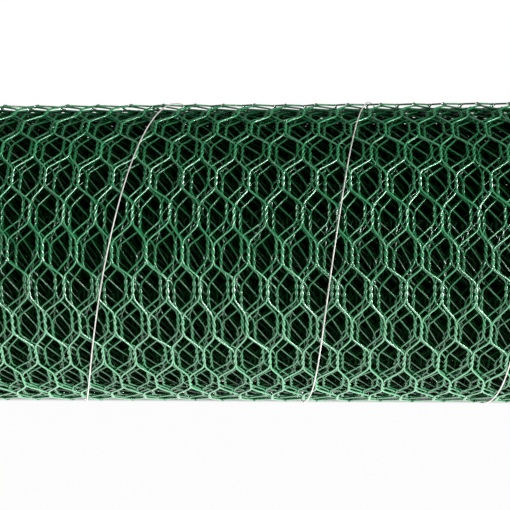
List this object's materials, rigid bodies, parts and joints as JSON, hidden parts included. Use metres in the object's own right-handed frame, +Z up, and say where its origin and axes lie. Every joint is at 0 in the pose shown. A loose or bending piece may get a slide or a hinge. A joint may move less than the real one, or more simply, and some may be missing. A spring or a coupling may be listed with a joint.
{
  "type": "roll of chicken wire",
  "caption": "Roll of green plastic-coated hexagonal wire netting with an open core, bound by a spiral of thin galvanised wire.",
  "frame": {"origin": "on the floor, below the middle of the roll", "axes": "+X along the roll's axis, +Z up; the pictured side faces -Y"},
  "size_m": [0.5, 0.2422, 0.2421],
  "materials": {
    "green_coated_wire": "glossy green plastic coating on steel wire",
    "galvanised_wire": "bright galvanised"
  },
  "bodies": {
    "root": {"netting_roll": "green_coated_wire", "binding_wire": "galvanised_wire"}
  },
  "joints": []
}
